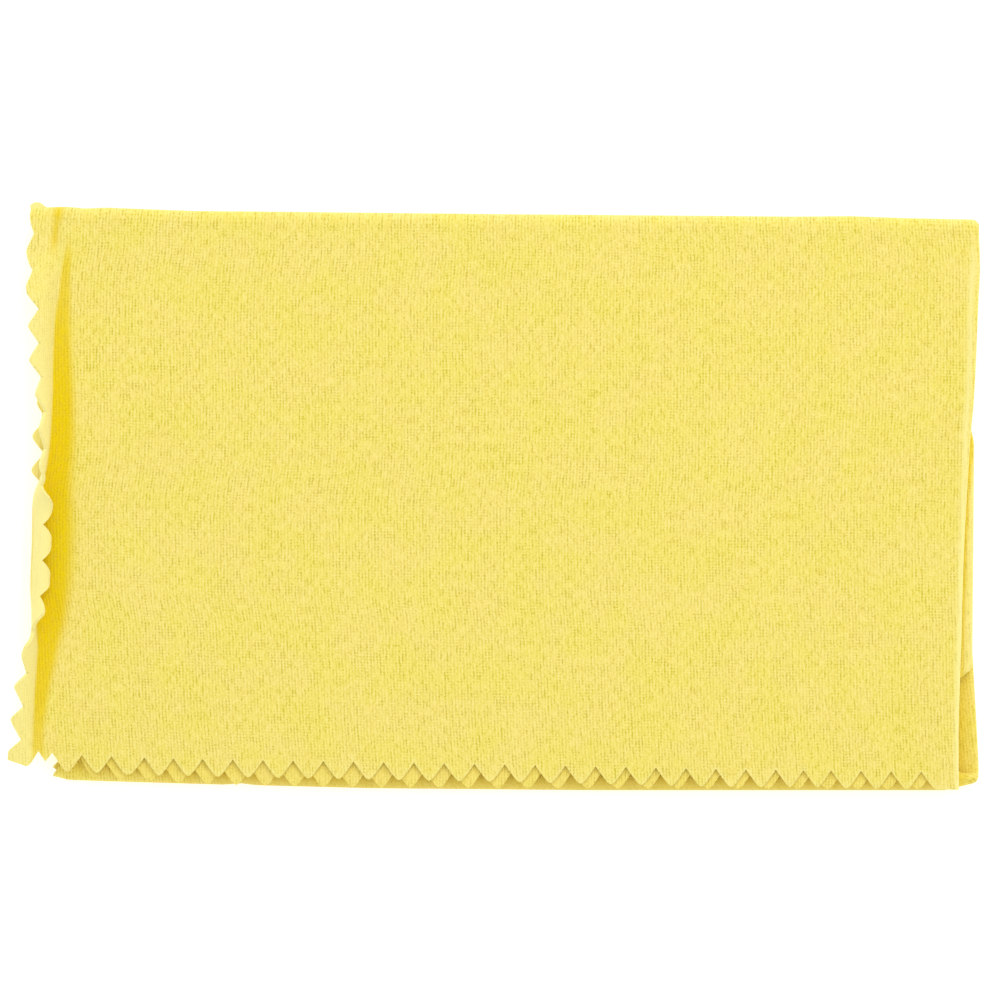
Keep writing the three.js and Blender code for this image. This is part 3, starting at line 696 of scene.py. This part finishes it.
# How far each thread shows through the nap, and where the holes between the threads are left open
THREAD_STRETCH = 0.3
LEAST_THREAD = 0.4
MOST_THREAD = 1.4
OPEN_HOLES = 0.96
NAPPED_HOLES = 0.04
stretched_weft = shader.math("MULTIPLY", weft, THREAD_STRETCH)
along_thread = shader.node("CombineXYZ", {0: warp, 1: stretched_weft}).outputs[0]
thread_noise = shader.noise(along_thread, scale=0.9, detail=1)
thread_share = shader.ranged(thread_noise, low=0.3, high=0.7, to_low=LEAST_THREAD, to_high=MOST_THREAD)
crossing = shader.node("CombineXYZ", {0: shader.math("ROUND", warp), 1: shader.math("ROUND", weft)})
knots = shader.node("TexWhiteNoise", {"Vector": crossing.outputs[0]}, noise_dimensions="2D").outputs["Value"]
patch_noise = shader.noise(place, scale=0.5, detail=3, stretch=(1, 0.3, 1))
open_patches = shader.ranged(patch_noise, low=0.40, high=0.62)
holes = shader.math("MULTIPLY", shader.groove(warp_ridge), shader.groove(weft_ridge))
holes = shader.math("MULTIPLY", holes, shader.ranged(knots, low=0.0, high=1.0))
holes = shader.math("MULTIPLY", holes, thread_share)
holes = shader.math("MULTIPLY", holes, shader.math("MULTIPLY_ADD", open_patches, OPEN_HOLES, NAPPED_HOLES))
grain = shader.swing(along_thread, scale=1.35, detail=1, stretch=(1, 0.8, 1))
fluff = shader.swing(place, scale=2.6, detail=2)
streaks = shader.swing(place, scale=0.35, detail=2, stretch=(1, 0.1, 1))
blotches = shader.swing(place, scale=0.12, detail=2)

# How much each of these lightens or darkens the cloth around the tone of its plain face
PLAIN_TONE = 0.575
WARP_TONE = 0.22
WEFT_TONE = 0.08
OVER_TONE = 0.10
HOLE_TONE = -0.32
STREAK_TONE = 0.2
GRAIN_TONE = 1.25
FLUFF_TONE = 1.6
woven = shader.math("MULTIPLY", shader.math("MULTIPLY", warp_ridge, WARP_TONE), thread_share)
woven = shader.math("MULTIPLY_ADD", shader.math("MULTIPLY", weft_ridge, open_patches), WEFT_TONE, woven)
woven = shader.math("MULTIPLY_ADD", shader.math("MULTIPLY", over, thread_share), OVER_TONE, woven)
woven = shader.math("MULTIPLY_ADD", holes, HOLE_TONE, woven)
tone = shader.math("ADD", woven, PLAIN_TONE)
tone = shader.math("MULTIPLY_ADD", streaks, STREAK_TONE, tone)
tone = shader.math("MULTIPLY_ADD", grain, GRAIN_TONE, tone)
tone = shader.math("MULTIPLY_ADD", fluff, FLUFF_TONE, tone)

GROOVE_AT = 0.32
FACE_AT = 0.60
ramp = shader.node("ValToRGB", {"Fac": tone})
ramp.color_ramp.elements[0].position = 0.0
ramp.color_ramp.elements[0].color = DEEP_DOT
ramp.color_ramp.elements[1].position = 1.0
ramp.color_ramp.elements[1].color = CREST
for position, colour in ((GROOVE_AT, GROOVE), (FACE_AT, FACE)):
    ramp.color_ramp.elements.new(position).color = colour

# Here and there the nap leans towards lemon or towards peach.
LEANING = 0.22
leaning = shader.mix(shader.ranged(blotches, low=-0.16, high=0.16), LEMON, PEACH)
napped = shader.mix(LEANING, ramp.outputs["Color"], leaning)

# The three tones of painted light and shade are laid over the napped face: gold painted shade, pale painted
# light and brown painted shade.
GOLD_GRAIN = 0.5
tone_vector = shader.node("Attribute", attribute_name="painted_light_and_shade").outputs["Vector"]
tone_shares = shader.node("SeparateXYZ", {0: tone_vector})
gold_tone = shader.mix(shader.ranged(tone, low=0.2, high=0.8), PAINTED_SHADE_GROOVE, PAINTED_SHADE_GOLD)
gold_share = shader.math("MULTIPLY_ADD", grain, GOLD_GRAIN, 1.0)
gold_share = shader.math("MULTIPLY", gold_share, tone_shares.outputs["X"], clamp=True)
colour = shader.mix(gold_share, napped, gold_tone)
colour = shader.mix(tone_shares.outputs["Y"], colour, PAINTED_LIGHT_YELLOW)
colour = shader.mix(tone_shares.outputs["Z"], colour, FOLD_SHADE)

# The threads and the nap stand out from the cloth a little.
FLUFF_RELIEF = 0.5
RELIEF_HEIGHT = 0.12
RELIEF_STRENGTH = 0.6
relief = shader.math("MULTIPLY_ADD", fluff, FLUFF_RELIEF, woven)
bump = shader.node("Bump", {"Height": relief, "Distance": RELIEF_HEIGHT * MM, "Strength": RELIEF_STRENGTH})
flannel.node_tree.links.new(colour, surface.inputs["Base Color"])
flannel.node_tree.links.new(bump.outputs["Normal"], surface.inputs["Normal"])
surface.inputs["Roughness"].default_value = 0.95
surface.inputs["Specular IOR Level"].default_value = 0.1
surface.inputs["Sheen Weight"].default_value = 0.15
surface.inputs["Sheen Roughness"].default_value = 0.6
cloth_mesh.materials.append(flannel)

# The table and the light. A plain white table under an even white sky, with one large soft lamp above the
# far edge and a little to the right that gives the folds and threads their relief.
TABLE_HALF = 3.0
TABLE_WHITE = (0.96, 0.96, 0.96, 1)
TABLE_GLOW = 0.40
SKY_STRENGTH = 0.86
LAMP_DIRECTION = Vector((0.3, 0.8, 1.0)).normalized()
LAMP_DISTANCE = 1.2
LAMP_SIZE = 0.6
LAMP_POWER = 3.4

table_mesh = bpy.data.meshes.new("table_top")
table_mesh.from_pydata([(-TABLE_HALF, -TABLE_HALF, 0), (TABLE_HALF, -TABLE_HALF, 0),
                        (TABLE_HALF, TABLE_HALF, 0), (-TABLE_HALF, TABLE_HALF, 0)], [], [(0, 1, 2, 3)])
table_top = bpy.data.objects.new("table_top", table_mesh)
bpy.context.scene.collection.objects.link(table_top)
white = bpy.data.materials.new("white_table")
white.use_nodes = True
white_surface = white.node_tree.nodes["Principled BSDF"]
white_surface.inputs["Base Color"].default_value = TABLE_WHITE
white_surface.inputs["Roughness"].default_value = 0.9
white_surface.inputs["Specular IOR Level"].default_value = 0.0
white_surface.inputs["Emission Color"].default_value = (1, 1, 1, 1)
white_surface.inputs["Emission Strength"].default_value = TABLE_GLOW
table_mesh.materials.append(white)

sky = bpy.data.worlds.new("white_sky")
sky.use_nodes = True
sky.node_tree.nodes["Background"].inputs["Color"].default_value = (1, 1, 1, 1)
sky.node_tree.nodes["Background"].inputs["Strength"].default_value = SKY_STRENGTH
bpy.context.scene.world = sky

lamp_data = bpy.data.lights.new("soft_lamp", "AREA")
lamp_data.size = LAMP_SIZE
lamp_data.energy = LAMP_POWER
lamp = bpy.data.objects.new("soft_lamp", lamp_data)
lamp.location = LAMP_DIRECTION * LAMP_DISTANCE
lamp.rotation_mode = "QUATERNION"
lamp.rotation_quaternion = LAMP_DIRECTION.to_track_quat("Z", "Y")
bpy.context.scene.collection.objects.link(lamp)

bpy.context.scene.view_settings.view_transform = "Standard"
